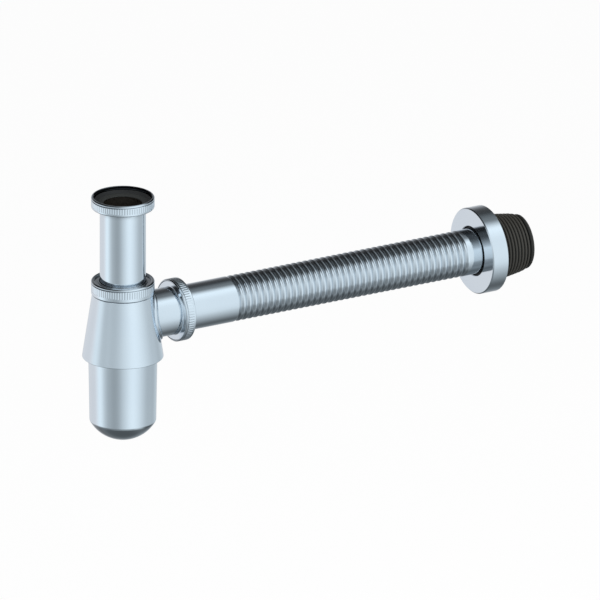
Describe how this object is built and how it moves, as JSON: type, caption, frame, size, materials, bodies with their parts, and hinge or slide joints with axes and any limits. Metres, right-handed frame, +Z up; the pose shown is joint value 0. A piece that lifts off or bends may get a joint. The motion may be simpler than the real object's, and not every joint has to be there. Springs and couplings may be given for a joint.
{
  "type": "sink trap",
  "caption": "Chromed bottle trap with a knurled inlet nut, bell body and screw-off cup, and a corrugated outlet pipe with a wall flange and rubber cuff.",
  "frame": {"origin": "centre of the inlet nut's thread where it starts, just inside the nut's mouth", "axes": "+Z up along the inlet tube, out of the inlet nut; +X along the outlet pipe towards the wall"},
  "size_m": [0.346, 0.0604, 0.1775],
  "materials": {
    "chrome_nut": "bright chrome plate on turned and knurled brass",
    "chrome_tube": "bright chrome plate on drawn brass tube",
    "chrome_body": "bright chrome plate on polished brass",
    "chrome_flange": "bright chrome plate on drawn sheet",
    "bare_brass": "plain turned brass",
    "black_rubber": "smooth moulded rubber",
    "cuff_rubber": "ribbed moulded rubber, slightly dusty on the ribs"
  },
  "bodies": {
    "inlet": {"inlet_tube": "chrome_tube", "inlet_washer": "black_rubber"},
    "inlet_nut": {"inlet_nut": "chrome_nut"},
    "neck_seal": {"neck_seal": "black_rubber"},
    "trap": {"trap_body": "chrome_body", "outlet_spigot": "chrome_body", "outlet_seal": "black_rubber"},
    "neck_ring": {"neck_slip_ring": "bare_brass"},
    "neck_nut": {"neck_nut": "chrome_nut"},
    "outlet_ring": {"outlet_slip_ring": "bare_brass"},
    "outlet_nut": {"outlet_nut": "chrome_nut"},
    "cup_gasket": {"cup_seal": "black_rubber"},
    "cup": {"cup": "chrome_body"},
    "pipe": {"outlet_pipe": "chrome_tube"},
    "flange": {"wall_flange": "chrome_flange"},
    "cuff": {"wall_cuff": "cuff_rubber"}
  },
  "joints": [
    {"name": "inlet_nut_spin", "type": "hinge", "parent": "inlet", "child": "inlet_nut", "pos_m": [0, 0, 0], "axis": [0, 0, 1], "continuous": true},
    {"name": "height_slide", "type": "slide", "parent": "inlet", "child": "neck_seal", "axis": [0, 0, 1], "range_m": [-0.03, 0.012]},
    {"name": "trap_swivel", "type": "hinge", "parent": "neck_seal", "child": "trap", "pos_m": [0, 0, -0.0906], "axis": [0, 0, 1], "continuous": true},
    {"name": "neck_ring_lift", "type": "slide", "parent": "trap", "child": "neck_ring", "axis": [0, 0, 1], "range_m": [0, 0.00463]},
    {"name": "neck_nut_turn", "type": "hinge", "parent": "neck_ring", "child": "neck_nut", "pos_m": [0, 0, -0.065], "axis": [0, 0, 1], "range_deg": [0, 720]},
    {"name": "outlet_ring_draw", "type": "slide", "parent": "trap", "child": "outlet_ring", "axis": [1, 0, 0], "range_m": [0, 0.00309]},
    {"name": "outlet_nut_turn", "type": "hinge", "parent": "outlet_ring", "child": "outlet_nut", "pos_m": [0.042, 0, -0.0906], "axis": [1, 0, 0], "range_deg": [0, 480]},
    {"name": "cup_drop", "type": "slide", "parent": "trap", "child": "cup_gasket", "axis": [0, 0, -1], "range_m": [0, 0.00502]},
    {"name": "cup_turn", "type": "hinge", "parent": "cup_gasket", "child": "cup", "pos_m": [0, 0, -0.115], "axis": [0, 0, -1], "range_deg": [0, 900]},
    {"name": "pipe_slide", "type": "slide", "parent": "trap", "child": "pipe", "axis": [1, 0, 0], "range_m": [-0.01, 0.008]},
    {"name": "flange_slide", "type": "slide", "parent": "pipe", "child": "flange", "axis": [1, 0, 0], "range_m": [-0.2, 0]},
    {"name": "cuff_slide", "type": "slide", "parent": "pipe", "child": "cuff", "axis": [1, 0, 0], "range_m": [0, 0.015]}
  ],
  "couplings": [
    {"joint": "neck_ring_lift", "follows": "neck_nut_turn", "m_per_rad": 0.00036749},
    {"joint": "outlet_ring_draw", "follows": "outlet_nut_turn", "m_per_rad": 0.00036749},
    {"joint": "cup_drop", "follows": "cup_turn", "m_per_rad": 0.00031831}
  ]
}
